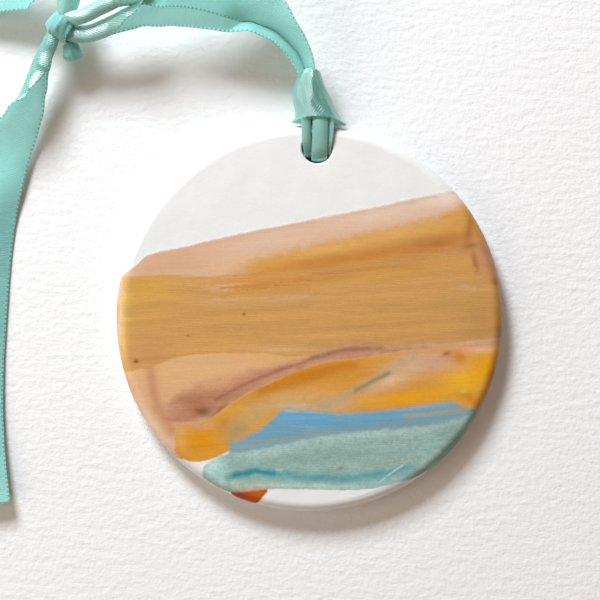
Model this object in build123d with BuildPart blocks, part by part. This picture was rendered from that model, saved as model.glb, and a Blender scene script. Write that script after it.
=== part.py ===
"""A round painted clay ornament on a tied satin ribbon, lying on its back.

The frame: millimetres, +Z up through the painted face, the back face on Z = 0,
the origin at the centre of the back face, the hanging hole on +Y.
"""
import math
import os

from build123d import *

os.makedirs("parts", exist_ok=True)

# The clay disc
disc_radius = 38.0
disc_thickness = 5.0
front_edge_radius = 2.0
back_edge_radius = 2.4
hole_y = 33.47
hole_radius = 2.95
hole_front_lip = 0.5
hole_back_flare = 1.6

# The painted coats
coat_thickness = 0.08
coat_gap = 0.1
prism_height = 8.0

# The satin ribbon
ribbon_width = 9.5
ribbon_thickness = 0.3
gathered_width = 1.95
gathered_thickness = 0.2
arc_share = 0.45


def save(piece, label):
    """Give the finished piece its name and write it out."""
    piece.part.label = label
    export_step(piece.part, f"parts/{label}.step")


# ---------------------------------------------------------------- clay disc

def hole_profile():
    """Half-section of the hole, with its rounded front lip and its wider back flare."""
    lip_y = disc_thickness - hole_front_lip
    lip_x, flare_x = hole_radius + hole_front_lip, hole_radius + hole_back_flare
    below, above = -1.0, disc_thickness + 1.0
    lip_middle = (hole_radius + hole_front_lip * arc_inset, disc_thickness - hole_front_lip * arc_inset)
    flare_middle = (hole_radius + hole_back_flare * arc_inset, hole_back_flare * arc_inset)
    Line((hole_radius, lip_y), (hole_radius, hole_back_flare))
    ThreePointArc((hole_radius, hole_back_flare), flare_middle, (flare_x, 0))
    Polyline(
        (flare_x, 0), (flare_x, below), (0, below),
        (0, above), (lip_x, above), (lip_x, disc_thickness),
    )
    ThreePointArc((lip_x, disc_thickness), lip_middle, (hole_radius, lip_y))


hole_plane = Plane.XZ.offset(-hole_y)
hole_axis = Axis((0, hole_y, 0), (0, 0, 1))

# How far a quarter arc's middle stands off each of the two lines that it joins
arc_inset = 1 - math.sqrt(0.5)

with BuildPart() as disc:
    with BuildSketch(Plane.XZ):
        with BuildLine():
            back_inset, front_inset = back_edge_radius * arc_inset, front_edge_radius * arc_inset
            front_y = disc_thickness - front_edge_radius
            Line((0, 0), (disc_radius - back_edge_radius, 0))
            ThreePointArc(
                (disc_radius - back_edge_radius, 0),
                (disc_radius - back_inset, back_inset),
                (disc_radius, back_edge_radius),
            )
            Line((disc_radius, back_edge_radius), (disc_radius, front_y))
            ThreePointArc(
                (disc_radius, front_y),
                (disc_radius - front_inset, disc_thickness - front_inset),
                (disc_radius - front_edge_radius, disc_thickness),
            )
            Polyline((disc_radius - front_edge_radius, disc_thickness), (0, disc_thickness), (0, 0))
        make_face()
    revolve(axis=Axis.Z)
    with BuildSketch(hole_plane):
        with BuildLine():
            hole_profile()
        make_face()
    revolve(axis=hole_axis, mode=Mode.SUBTRACT)

save(disc, "disc")

# ------------------------------------------------------------- painted coats
# Each coat is the part of one thin skin that lies inside the coat's outline.
# The skin covers the front face and rolls over the rounded front edge.

skin_base = disc_thickness - front_edge_radius
skin_radius = disc_radius + coat_thickness
skin_top = disc_thickness + coat_thickness
skin_arc = front_edge_radius + coat_thickness
skin_inset = skin_arc * arc_inset

with BuildPart() as skin:
    with BuildSketch(Plane.XZ):
        with BuildLine():
            Line((0, skin_base), (skin_radius, skin_base))
            ThreePointArc(
                (skin_radius, skin_base),
                (skin_radius - skin_inset, skin_top - skin_inset),
                (skin_radius - skin_arc, skin_top),
            )
            Polyline((skin_radius - skin_arc, skin_top), (0, skin_top), (0, skin_base))
        make_face()
    revolve(axis=Axis.Z)
    add(disc.part, mode=Mode.SUBTRACT)
    with Locations((0, hole_y, skin_base)):
        Cylinder(hole_radius + hole_front_lip + coat_gap, prism_height, mode=Mode.SUBTRACT)

# A coat's outline is its upper edge from left to right, then its lower edge from
# right to left. Both run past the rim where the brush ran past it.
coat_edges = {
    "blush_wash": (
        [(-42, 0), (-20, 1), (0, 0), (14, -1)],
        [(16, -9), (2, -12.5), (-13, -21.5), (-15, -24.4), (-24.7, -29.2), (-34, -33)],
    ),
    "peach_wash": (
        [(-42, 5.4), (-33.0, 11.1), (-21.3, 14.6), (1.2, 20.7), (13, 23.2), (28.2, 26.0), (44, 27)],
        [(44, 14), (10, 6), (-42, 2)],
    ),
    "amber_wash": (
        [(-25.9, 5.0), (-19.0, 8.3), (-4.4, 13.3), (17.0, 18.6), (26.8, 22.0), (32.0, 21.6), (44, 19.5)],
        [(44, 9), (6, 4), (-25.9, 2)],
    ),
    "gold_stroke": (
        [(-44, 5.6), (-31.8, 7.0), (-20.0, 7.3), (-2.3, 9.1), (17.3, 11.9), (31, 14.9), (44, 17.6)],
        [(44, 1.4), (27.8, -2.4), (4.3, -5.0), (-17.4, -6.8), (-25.2, -8.3), (-44, -15.8)],
    ),
    "mauve_streak": (
        [(-23.6, -18.4), (-20.0, -17.2), (-7.3, -10.6), (8.3, -5.6), (27.9, -2.2), (44, 0.4)],
        [(44, -3.6), (27.9, -5.8), (8.3, -9.2), (-7.3, -14.2), (-18.0, -19.6), (-23.6, -20.2)],
    ),
    "orange_sweep": (
        [(-26, -20.8), (-19.7, -21.3), (-14.0, -16.5), (-1.4, -11.4), (10.3, -8.2), (27, -5.4), (44, -3.4)],
        [(44, -13.5), (32.3, -14.7), (14.7, -16.8), (-1.1, -18.5), (-12.7, -22.6), (-18.4, -28.6),
         (-24.6, -28.6)],
    ),
    "blue_stroke": (
        [(-12.9, -24.2), (-10.4, -22.0), (-3.4, -18.2), (8.8, -18.1), (26.5, -15.5), (35.0, -14.6)],
        [(34.4, -17.2), (22.6, -18.8), (6.9, -21.0), (-8.3, -24.2), (-12.9, -25.4)],
    ),
    "sea_stroke": (
        [(-20.6, -29.6), (-13.9, -26.9), (-4.7, -25.0), (14.9, -20.9), (34.0, -16.6), (42, -16.0)],
        [(36, -24), (25.1, -30.4), (15.4, -33.0), (-6.3, -33.7), (-17.2, -32.6), (-20.6, -31.0)],
    ),
    "rust_chip": (
        [(-14.2, -34.2), (-10.4, -33.9), (-6.7, -33.8)],
        [(-8.7, -36.4), (-11.2, -36.9), (-14.0, -35.9)],
    ),
}


def coat_outline(upper, lower):
    """A closed face between an upper and a lower edge, each a smooth curve."""
    Spline(*upper)
    Line(upper[-1], lower[0])
    Spline(*lower)
    Line(lower[-1], upper[0])


coat_prisms = {}
for coat_name, (upper_edge, lower_edge) in coat_edges.items():
    with BuildPart() as prism:
        with BuildSketch(Plane.XY):
            with BuildLine():
                coat_outline(upper_edge, lower_edge)
            make_face()
        extrude(amount=prism_height)
    coat_prisms[coat_name] = prism.part

coat_names = list(coat_prisms)
for place, coat_name in enumerate(coat_names):
    with BuildPart() as coat:
        add(skin.part)
        add(coat_prisms[coat_name], mode=Mode.INTERSECT)
        for later_name in coat_names[place + 1:]:
            add(coat_prisms[later_name], mode=Mode.SUBTRACT)
    save(coat, coat_name)

# ------------------------------------------------------------ the tied hitch
# The ribbon's bight wraps the two legs as a tapered sleeve beyond the rim. Its
# front is the collar, and its two backs lead down to the back of the hole.

sleeve_foot_y = 38.8
sleeve_top_y = 48.6
sleeve_foot_centre = (0.2, 3.55)
sleeve_top_centre = (-2.0, 4.9)
sleeve_foot_size = (5.2, 3.0)
sleeve_top_size = (2.0, 1.7)
sleeve_wall = 0.35
sleeve_split_z = 4.2
sleeve_split_x = -0.9
throat_gap = 0.75


with BuildPart() as sleeve:
    for inset, sleeve_mode in ((0.0, Mode.ADD), (sleeve_wall, Mode.SUBTRACT)):
        with BuildSketch(Plane.XZ.offset(-sleeve_foot_y)):
            with Locations(sleeve_foot_centre):
                Ellipse(sleeve_foot_size[0] - inset, sleeve_foot_size[1] - inset)
        with BuildSketch(Plane.XZ.offset(-sleeve_top_y)):
            with Locations(sleeve_top_centre):
                Ellipse(sleeve_top_size[0] - inset, sleeve_top_size[1] - inset)
        loft(mode=sleeve_mode)

with BuildPart() as hitch_collar:
    add(sleeve.part)
    split(bisect_by=Plane.XY.offset(sleeve_split_z), keep=Keep.TOP)

save(hitch_collar, "hitch_collar")

for side, kept in (("left", Keep.BOTTOM), ("right", Keep.TOP)):
    with BuildPart() as hitch_back:
        add(sleeve.part)
        split(bisect_by=Plane.XY.offset(sleeve_split_z), keep=Keep.BOTTOM)
        split(bisect_by=Plane.YZ.offset(sleeve_split_x), keep=kept)
    save(hitch_back, f"hitch_back_{side}")


# --------------------------------------------------------- strips of ribbon

def corner_radii(points):
    """One arc for each corner: arc_share of the shorter run over the tangent of half the turn."""
    radii = []
    for before, corner, after in zip(points, points[1:], points[2:]):
        run_in, run_out = Vector(*corner) - Vector(*before), Vector(*after) - Vector(*corner)
        half_turn = math.radians(run_in.get_angle(run_out)) / 2
        radii.append(arc_share * min(run_in.length, run_out.length) / math.tan(half_turn))
    return radii


def ribbon_path(points):
    """Straight runs joined by arcs, the plane square to its start, and the arcs' radii.

    The plane's local X lies across the path, level with the ground.
    """
    radii = corner_radii(points)
    with BuildLine() as route:
        FilletPolyline(*points, radius=radii)
    start = Vector(*points[0])
    heading = Vector(*points[1]) - start
    across = Vector(0, 0, 1).cross(heading)
    return route.wires()[0], Plane(origin=start, x_dir=across, z_dir=heading), radii


def report_route(label, piece, route, radii, width, thickness):
    """Print a strip's length and arcs, and its volume beside section times length."""
    length = route.length
    arcs = " ".join(f"{radius:.1f}" for radius in radii)
    print(f"{label}: length {length:.1f} mm, volume {piece.part.volume:.2f} mm3,"
          f" section x length {width * thickness * length:.2f} mm3, arcs {arcs} mm")


# Each leg comes down the front of the bridge, through the hole and back up
# behind it. The same route serves both legs, side by side.
leg_route = [
    (41.4, 5.35), (38.6, 5.75), (36.0, 5.6), (34.2, 4.2),
    (33.9, 1.5), (35.2, 0.15), (38.1, 0.14), (39.0, 0.4),
]
leg_middles = {"left": -1.15, "right": 1.15}

for side, leg_x in leg_middles.items():
    with BuildPart() as hitch_leg:
        leg_points = [(leg_x, y, z) for y, z in leg_route]
        leg_line, leg_plane, leg_radii = ribbon_path(leg_points)
        with BuildSketch(leg_plane):
            Rectangle(gathered_width, gathered_thickness)
        sweep(path=leg_line, binormal=leg_line.moved(Location((10, 0, 0))))
    report_route(f"hitch_leg_{side}", hitch_leg, leg_line, leg_radii, gathered_width, gathered_thickness)
    save(hitch_leg, f"hitch_leg_{side}")

# The gathered throat, where both strands leave the collar together.
with BuildPart() as loop_throat:
    with BuildSketch(Plane.XZ.offset(-(sleeve_top_y + throat_gap))):
        with Locations((-2.4, 5.1)):
            Ellipse(1.2, 1.2)
    with BuildSketch(Plane.XZ.offset(-51.8)):
        with Locations((-3.8, 5.9)):
            Ellipse(2.1, 1.3)
    loft()

save(loop_throat, "loop_throat")

ribbon_routes = {
    "strand_inner": [
        (-5.0, 52.4, 5.3), (-9.3, 56.3, 5.6), (-15.0, 59.2, 6.0), (-22.0, 60.6, 6.3),
        (-29.3, 61.0, 6.1), (-36.4, 59.0, 5.7), (-42.0, 55.7, 5.3), (-46.2, 53.7, 5.0),
    ],
    "strand_outer": [
        (-4.0, 53.0, 6.9), (-8.2, 57.8, 7.3), (-13.8, 61.0, 7.7), (-20.6, 63.0, 8.0),
        (-28.5, 64.4, 8.0), (-36.2, 63.0, 7.7), (-42.0, 59.8, 7.2), (-46.7, 57.0, 6.9),
    ],
    "tail_left": [
        (-54.0, 51.6, 4.7), (-55.9, 45.8, 4.2), (-58.7, 37.2, 3.2), (-61.6, 28.2, 1.9),
        (-63.6, 18.6, 0.9), (-64.4, 8.6, 0.4), (-64.7, -1.8, 0.3), (-64.9, -12.2, 0.45),
        (-64.5, -22.5, 0.9), (-63.4, -32.0, 1.9), (-62.0, -39.5, 3.2),
    ],
    "tail_upper": [
        (-51.4, 59.1, 5.8), (-52.2, 64.6, 6.0), (-57.4, 67.3, 5.4), (-63.5, 64.7, 4.2),
        (-71.5, 61.9, 2.9), (-81.0, 59.4, 1.6), (-91.0, 57.4, 0.75), (-101.5, 55.0, 0.4),
        (-111.5, 51.0, 0.7),
    ],
}

for strip_name, strip_points in ribbon_routes.items():
    with BuildPart() as ribbon_strip:
        strip_line, strip_plane, strip_radii = ribbon_path(strip_points)
        with BuildSketch(strip_plane):
            Rectangle(ribbon_width, ribbon_thickness)
        sweep(path=strip_line, binormal=strip_line.moved(Location((0, 0, 10))))
    report_route(strip_name, ribbon_strip, strip_line, strip_radii, ribbon_width, ribbon_thickness)
    save(ribbon_strip, strip_name)

# ---------------------------------------------------------------- the knot

knot_centre = (-51.3, 55.3, 5.0)
knot_size = (6.2, 5.4, 6.4)

with BuildPart() as knot_wrap:
    with Locations(knot_centre):
        Box(*knot_size)
    fillet(knot_wrap.edges(), radius=1.6)

save(knot_wrap, "knot_wrap")

with BuildPart() as knot_bight:
    with Locations((-49.2, 49.8, 2.5)):
        Sphere(1.8)

save(knot_bight, "knot_bight")
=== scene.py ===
import math

import bpy
import numpy as np
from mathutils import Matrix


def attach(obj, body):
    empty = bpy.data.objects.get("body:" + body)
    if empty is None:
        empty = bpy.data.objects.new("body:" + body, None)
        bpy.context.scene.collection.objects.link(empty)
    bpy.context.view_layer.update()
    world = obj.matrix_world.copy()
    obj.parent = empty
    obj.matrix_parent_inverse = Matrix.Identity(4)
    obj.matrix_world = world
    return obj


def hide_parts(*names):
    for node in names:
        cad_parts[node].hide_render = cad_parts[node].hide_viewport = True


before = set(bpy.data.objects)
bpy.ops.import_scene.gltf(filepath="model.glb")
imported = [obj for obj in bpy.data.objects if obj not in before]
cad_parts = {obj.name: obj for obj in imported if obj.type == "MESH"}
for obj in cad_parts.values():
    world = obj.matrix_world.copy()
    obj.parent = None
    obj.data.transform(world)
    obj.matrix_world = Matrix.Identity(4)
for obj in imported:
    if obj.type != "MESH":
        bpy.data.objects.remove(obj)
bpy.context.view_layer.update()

bl_info = {
    "name": "Painted ornament on a satin ribbon",
    "version": (1, 0, 0),
    "blender": (4, 5, 0),
    "location": "3D View > Sidebar > Ornament",
    "description": "Builds a painted clay ornament with its tied satin ribbon",
    "category": "Add Mesh",
}

MM = 0.001

# ------------------------------------------------------------ small helpers


def linear(hex_colour):
    """Turn an sRGB hex colour into a linear RGBA tuple."""
    parts = np.array([int(hex_colour[i:i + 2], 16) for i in (1, 3, 5)]) / 255
    low, high = parts / 12.92, ((parts + 0.055) / 1.055) ** 2.4
    return (*(float(c) for c in np.where(parts <= 0.04045, low, high)), 1.0)


def add_node(tree, kind, settings=None, inputs=None):
    """Add a node. settings are its own values; inputs gives each socket a value or a link."""
    made = tree.nodes.new(kind)
    for name, value in (settings or {}).items():
        setattr(made, name, value)
    for socket, value in (inputs or {}).items():
        if isinstance(value, bpy.types.NodeSocket):
            tree.links.new(value, made.inputs[socket])
        else:
            made.inputs[socket].default_value = value
    return made


def new_material(name):
    """A material with an empty node tree, its tree and its output node."""
    material = bpy.data.materials.new(name)
    material.use_nodes = True
    material.node_tree.nodes.clear()
    return material, material.node_tree, add_node(material.node_tree, "ShaderNodeOutputMaterial")


def mesh_piece(name, points, faces, materials, face_material=None, uv=None):
    """An object from points in millimetres and quads, with smooth shading and its materials."""
    mesh = bpy.data.meshes.new(name)
    mesh.from_pydata((np.asarray(points) * MM).tolist(), [], np.asarray(faces).tolist())
    for material in materials:
        mesh.materials.append(material)
    if face_material is not None:
        mesh.polygons.foreach_set("material_index", np.asarray(face_material, dtype=np.int32))
    if uv is not None:
        corner_vertex = np.empty(len(mesh.loops), dtype=np.int32)
        mesh.loops.foreach_get("vertex_index", corner_vertex)
        layer = mesh.uv_layers.new(name="weave")
        layer.uv.foreach_set("vector", np.asarray(uv, dtype=np.float32)[corner_vertex].ravel())
    mesh.polygons.foreach_set("use_smooth", np.ones(len(mesh.polygons), dtype=bool))
    mesh.update()
    piece = bpy.data.objects.new(name, mesh)
    bpy.context.scene.collection.objects.link(piece)
    return piece


def unit(vectors):
    """Each vector divided by its length."""
    return vectors / np.maximum(np.linalg.norm(vectors, axis=-1, keepdims=True), 1e-12)


def running_length(points):
    """How far along a line of points each of them is."""
    return np.concatenate(([0.0], np.cumsum(np.linalg.norm(np.diff(points, axis=0), axis=1))))


def smooth(part):
    """Eases part, from 0 to 1, with no slope at either end: 3 part^2 - 2 part^3."""
    return part * part * (3 - 2 * part)


# ----------------------------------------------------------- the user's values


def length_value(name, default, description):
    """A length in metres that the user can set."""
    return bpy.props.FloatProperty(name=name, default=default, description=description, unit="LENGTH")


def colour_value(name, default, description):
    """An sRGB hex colour that the user can set."""
    return bpy.props.StringProperty(name=name, default=default, description=description)


class StageProps(bpy.types.PropertyGroup):
    """The camera and the floor"""
    camera_height: length_value("Camera height", 0.460, "Height of the camera over the ground")
    view_width: length_value("View width", 0.11834, "Width that the view takes in at the disc's rim")
    floor_colour: colour_value("Floor colour", "#F2F2F2", "Colour of the pale paper floor")


class RibbonProps(bpy.types.PropertyGroup):
    """The satin ribbon"""
    width: length_value("Width", 0.0095, "Width of the satin ribbon")
    thickness: length_value("Thickness", 0.00022, "Thickness of the satin ribbon")
    face_colour: colour_value("Satin side", "#58BFB0", "Colour of the shiny side")
    back_colour: colour_value("Dull side", "#86D3C8", "Colour of the ribbed side")


class DiscProps(bpy.types.PropertyGroup):
    """The clay disc and its painted film"""
    radius: length_value("Radius", 0.038, "Radius of the clay disc")
    thickness: length_value("Thickness", 0.005, "Thickness of the clay disc")
    rim: length_value("Rim", 0.002, "Rounding of the disc's front rim")
    cell: length_value("Cell", 0.0002, "Spacing of the painted film's points")
    clay: colour_value("Clay", "#EAEAE8", "Colour of the fired clay")


# ------------------------------------------------------------------- stage


def paper_material(colour):
    """Cold-pressed cotton paper: a random tooth about 1 mm across, drawn out sideways by the
    felt, that gives the eye soft grey flecks."""
    material, tree, output = new_material("cotton_paper_cold_pressed")
    where = add_node(tree, "ShaderNodeTexCoord").outputs["Object"]
    tooth = add_node(tree, "ShaderNodeTexNoise", inputs={
        "Vector": where, "Scale": 900.0, "Detail": 4.0, "Roughness": 0.55})
    stretched = add_node(tree, "ShaderNodeMapping", inputs={
        "Vector": where, "Scale": (260.0, 700.0, 1.0)})
    laid = add_node(tree, "ShaderNodeTexNoise", inputs={
        "Vector": stretched.outputs["Vector"], "Scale": 1.0, "Detail": 3.0})
    both = add_node(tree, "ShaderNodeMath", {"operation": "ADD"}, {
        0: tooth.outputs["Fac"], 1: laid.outputs["Fac"]})
    bump = add_node(tree, "ShaderNodeBump", inputs={
        "Height": both.outputs[0], "Strength": 0.5, "Distance": 0.0003})
    surface = add_node(tree, "ShaderNodeBsdfPrincipled", inputs={
        "Base Color": linear(colour), "Roughness": 0.9, "Specular IOR Level": 0.2,
        "Normal": bump.outputs["Normal"]})
    tree.links.new(surface.outputs["BSDF"], output.inputs["Surface"])
    return material


# Each light: name, place in metres, size in metres, power in watts, colour
LIGHTS = [
    ("key_light", (-0.30, 0.58, 0.44), 0.24, 8.2, "#ECF6FF"),
    ("left_light", (-0.75, -0.20, 0.50), 0.60, 2.7, "#FFF6EC"),
]


def area_light(name, place, size, power, colour):
    """A square soft light at place that faces the middle of the disc."""
    light = bpy.data.lights.new(name, "AREA")
    light.size = size
    light.energy = power
    light.color = linear(colour)[:3]
    lamp = bpy.data.objects.new(name, light)
    bpy.context.scene.collection.objects.link(lamp)
    x, y, z = lamp.location = place
    lamp.rotation_euler = (math.atan2(math.hypot(x, y), z), 0.0, math.atan2(y, x) + math.pi / 2)


class ORNAMENT_OT_stage(bpy.types.Operator):
    """Make the camera, the paper floor and the lights"""
    bl_idname = "ornament.stage"
    bl_label = "Stage"

    def execute(self, context):
        values = context.scene.ornament_stage
        camera_x, camera_y, camera_roll = -2.03 * MM, 3.56 * MM, math.radians(2.54)
        rim_height = 2.7 * MM
        sensor = 36.0
        camera_data = bpy.data.cameras.new("camera")
        camera_data.sensor_width = sensor
        camera_data.lens = sensor * (values.camera_height - rim_height) / values.view_width
        camera_data.clip_start = 0.01
        camera = bpy.data.objects.new("camera", camera_data)
        camera.location = (camera_x, camera_y, values.camera_height)
        camera.rotation_euler = (0.0, 0.0, camera_roll)
        context.scene.collection.objects.link(camera)
        context.scene.camera = camera

        reach = 600.0
        corners = [(-reach, -reach, 0), (reach, -reach, 0), (reach, reach, 0), (-reach, reach, 0)]
        floor = mesh_piece("floor", corners, [(0, 1, 2, 3)], [paper_material(values.floor_colour)])

        for light in LIGHTS:
            area_light(*light)
        world = bpy.data.worlds.new("soft_room")
        world.use_nodes = True
        background = world.node_tree.nodes["Background"]
        background.inputs["Color"].default_value = linear("#FFDFC4")
        background.inputs["Strength"].default_value = 0.26
        context.scene.world = world
        context.scene.view_settings.view_transform = "Standard"
        return {"FINISHED"}


# ------------------------------------------------------------ satin ribbon
# The weave's coordinates run over this width however far the ribbon is gathered, and the picot
# loops stand this far apart, in millimetres
WEAVE_WIDTH = 9.5
PICOT_PITCH = 0.9


def satin_material(name, colour, shiny):
    """Woven polyester satin on its UV map, in which 1 is 100 mm.

    The shiny side is long floats that run along the ribbon, so its glints are drawn out
    across it and broken by a slanting twill, which is drawn 0.55 mm apart so that it shows.
    Its IOR is over a polyester's 1.6, matched to how bright the floats glint.
    The dull side shows the cross threads as ribs, drawn 0.33 mm apart. Light passes through
    the thin cloth, and both sides have picot loops along the selvedge, painted paler and
    darker in turn as painted highlight and painted shade.
    """
    material, tree, output = new_material(name)
    uv = add_node(tree, "ShaderNodeUVMap", {"uv_map": "weave"})
    in_mm = add_node(tree, "ShaderNodeVectorMath", {"operation": "SCALE"}, {
        0: uv.outputs["UV"], "Scale": 100.0})
    parts = add_node(tree, "ShaderNodeSeparateXYZ", inputs={0: in_mm.outputs[0]})
    along, across = parts.outputs["X"], parts.outputs["Y"]
    slope, thread_pitch = (0.9, 0.55) if shiny else (0.0, 0.33)
    slant = add_node(tree, "ShaderNodeMath", {"operation": "MULTIPLY_ADD"}, {
        0: across, 1: slope, 2: along})
    waves = []
    for distance, pitch in ((slant.outputs[0], thread_pitch), (along, PICOT_PITCH)):
        angle = add_node(tree, "ShaderNodeMath", {"operation": "MULTIPLY"}, {
            0: distance, 1: 2 * math.pi / pitch})
        waves.append(add_node(tree, "ShaderNodeMath", {"operation": "SINE"}, {0: angle.outputs[0]}))
    pattern, picot = waves
    threads = add_node(tree, "ShaderNodeTexNoise", inputs={
        "Vector": in_mm.outputs[0], "Scale": 1.7, "Detail": 3.0})
    height = add_node(tree, "ShaderNodeMath", {"operation": "MULTIPLY_ADD"}, {
        0: pattern.outputs[0], 1: 0.5, 2: threads.outputs["Fac"]})
    bump = add_node(tree, "ShaderNodeBump", inputs={
        "Height": height.outputs[0], "Strength": 0.8, "Distance": 0.00005 if shiny else 0.00006})
    # The selvedge is the outer half millimetre, where the picot loops are painted paler as a painted
    # highlight and the gaps between them darker as painted shade
    edge = add_node(tree, "ShaderNodeMath", {"operation": "ABSOLUTE"}, {0: across})
    at_edge = add_node(tree, "ShaderNodeMapRange", {"interpolation_type": "SMOOTHSTEP"}, {
        "Value": edge.outputs[0], "From Min": 4.2, "From Max": 4.5})
    picot_highlight_and_shade = add_node(tree, "ShaderNodeMapRange", inputs={
        "Value": picot.outputs[0], "From Min": -0.3, "From Max": 0.3})
    base = np.array(linear(colour))
    # deep is a painted shade for the gaps between the picot loops, and pale a painted highlight on the
    # loops
    deep = (*(base[:3] * np.array([0.42, 0.72, 0.74])), 1.0)
    pale = (*np.minimum(base[:3] * 1.25 + 0.03, 1.0), 1.0)
    picots = add_node(tree, "ShaderNodeMix", {"data_type": "RGBA"}, {
        "Factor": picot_highlight_and_shade.outputs[0], 6: deep, 7: pale})
    rib_mix = add_node(tree, "ShaderNodeMapRange", inputs={
        "Value": pattern.outputs[0], "From Min": -1.0, "From Max": 1.0, "To Max": 0.28})
    shaded = (*(base[:3] * np.array([0.72, 0.86, 0.87])), 1.0)
    body = add_node(tree, "ShaderNodeMix", {"data_type": "RGBA"}, {
        "Factor": rib_mix.outputs[0], 6: tuple(base), 7: shaded})
    colour_out = add_node(tree, "ShaderNodeMix", {"data_type": "RGBA"}, {
        "Factor": at_edge.outputs[0], 6: body.outputs[2], 7: picots.outputs[2]})
    tangent = add_node(tree, "ShaderNodeTangent", {"direction_type": "UV_MAP", "uv_map": "weave"})
    surface = add_node(tree, "ShaderNodeBsdfPrincipled", inputs={
        "Base Color": colour_out.outputs[2],
        "Roughness": 0.38 if shiny else 0.5,
        "Anisotropic": 0.95 if shiny else 0.3, "Anisotropic Rotation": 0.25,
        "IOR": 2.35 if shiny else 1.5,
        "Specular IOR Level": 1.0 if shiny else 0.4,
        "Sheen Weight": 0.25, "Sheen Roughness": 0.4,
        "Subsurface Weight": 0.85 if shiny else 1.0, "Subsurface Radius": (1.0, 1.0, 1.0),
        "Subsurface Scale": 0.0015,
        "Normal": bump.outputs["Normal"], "Tangent": tangent.outputs["Tangent"]})
    tree.links.new(surface.outputs["BSDF"], output.inputs["Surface"])
    return material


def spline_points(name, controls, spacing=0.25):
    """Points spacing apart, in millimetres, on the NURBS spline of the route's control points."""
    curve = bpy.data.curves.new(name, "CURVE")
    curve.dimensions = "3D"
    spline = curve.splines.new("NURBS")
    spline.points.add(len(controls) - 1)
    for point, place in zip(spline.points, controls):
        point.co = (*(c * MM for c in place), 1.0)
    spline.order_u = 3
    spline.use_endpoint_u = True
    spline.resolution_u = 40
    holder = bpy.data.objects.new(name, curve)
    bpy.context.scene.collection.objects.link(holder)
    line = bpy.data.meshes.new_from_object(holder)
    points = np.empty(len(line.vertices) * 3)
    line.vertices.foreach_get("co", points)
    points = points.reshape(-1, 3) / MM
    bpy.data.objects.remove(holder)
    bpy.data.meshes.remove(line)
    bpy.data.curves.remove(curve)
    steps = np.linalg.norm(np.diff(points, axis=0), axis=1)
    points = points[np.concatenate(([True], steps > 1e-6))]
    distance = running_length(points)
    even = np.linspace(0.0, distance[-1], max(int(distance[-1] / spacing), 8))
    return np.stack([np.interp(even, distance, points[:, axis]) for axis in range(3)], axis=1)


def eased(stations, where, column):
    """Values at where (0 to 1) that ease from station to station with no slope at each."""
    table = np.array(stations, dtype=float)
    at = np.clip(np.searchsorted(table[:, 0], where, side="right") - 1, 0, len(table) - 2)
    part = np.clip((where - table[at, 0]) / (table[at + 1, 0] - table[at, 0]), 0.0, 1.0)
    return table[at, column] + (table[at + 1, column] - table[at, column]) * smooth(part)


def ribbon_surface(centre, stations, width, columns=25):
    """The middle surface of a ribbon carried along a line, and its two coordinates in mm.

    Each station is (part of the way, roll in degrees, curl in degrees, part of the full width).
    A section is an arc as long as the ribbon is wide. For a curl a and a point v across, from -1
    to 1, it stands w/2 sin(a v)/a aside and w/2 (cos(a v) - 1)/a up, less the mean. Roll turns it
    about the line. At roll 0 the dull side is up, and at 180 the satin side. The picots are a
    ripple of the two edges.
    """
    way = np.linspace(0.0, 1.0, len(centre))
    roll = np.radians(eased(stations, way, 1))[:, None]
    curl = np.radians(eased(stations, way, 2))[:, None]
    tangent = unit(np.gradient(centre, axis=0))
    side = unit(np.cross(tangent, (0.0, 0.0, 1.0)))
    lift = np.cross(side, tangent)
    across = np.linspace(-1.0, 1.0, columns)[None, :]
    distance = running_length(centre)
    half = width / 2 * eased(stations, way, 3)[:, None]
    ripple = 0.03
    picots = ripple * np.sin(2 * math.pi * distance / PICOT_PITCH)[:, None] * (np.abs(across) > 0.97)
    x = half * across * np.sinc(curl * across / math.pi) + picots * np.sign(across)
    z = -half * curl * across ** 2 / 2 * np.sinc(curl * across / (2 * math.pi)) ** 2
    z = z - z.mean(axis=1, keepdims=True)
    turned_x = x * np.cos(roll) - z * np.sin(roll)
    turned_z = x * np.sin(roll) + z * np.cos(roll)
    surface = (centre[:, None, :] + turned_x[..., None] * side[:, None, :]
               + turned_z[..., None] * lift[:, None, :])
    along = np.broadcast_to(distance[:, None], x.shape)
    return surface, along, np.broadcast_to(across * WEAVE_WIDTH / 2, x.shape)


def ribbon_shell(surface, along, across, thickness, satin_out=False):
    """Points, quads, side of each quad (0 dull, 1 satin) and UVs of a closed ribbon.

    Each row of the middle surface becomes a ring: one side half the thickness off it along
    the normal, then the other side back the other way. satin_out turns the normal round,
    for a sleeve whose outer side is dull when it is laid like a strip.
    """
    rows, columns = surface.shape[:2]
    normal = unit(np.cross(np.gradient(surface, axis=0), np.gradient(surface, axis=1)))
    normal = normal if satin_out else -normal
    dull = surface + normal * thickness / 2
    satin = surface - normal * thickness / 2
    ring = np.concatenate((dull, satin[:, ::-1]), axis=1)
    count = 2 * columns
    index = np.arange(rows * count).reshape(rows, count)
    beside = np.roll(index, -1, axis=1)
    quads = np.stack((index[:-1], index[1:], beside[1:], beside[:-1]), axis=-1).reshape(-1, 4)
    kind = np.tile((np.arange(count) >= columns).astype(int), rows - 1)
    there, back = index[0, :columns], index[0, ::-1][:columns]
    start = np.stack((there[:-1], there[1:], back[1:], back[:-1]), axis=-1)
    end = start[:, ::-1] + (rows - 1) * count
    faces = np.concatenate((quads, start, end))
    kinds = np.concatenate((kind, np.zeros(len(start) + len(end), dtype=int)))
    uv = np.stack((np.concatenate((along, along[:, ::-1]), axis=1),
                   np.concatenate((across, across[:, ::-1]), axis=1)), axis=-1) / 100.0
    return ring.reshape(-1, 3), faces, kinds, uv.reshape(-1, 2)


def ribbon_materials():
    """The dull side's and the satin side's materials, made once."""
    made = bpy.data.materials
    values = bpy.context.scene.ornament_ribbon
    if "polyester_ribbed_back" not in made:
        satin_material("polyester_ribbed_back", values.back_colour, False)
        satin_material("polyester_satin_face", values.face_colour, True)
    return [made["polyester_ribbed_back"], made["polyester_satin_face"]]


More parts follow.
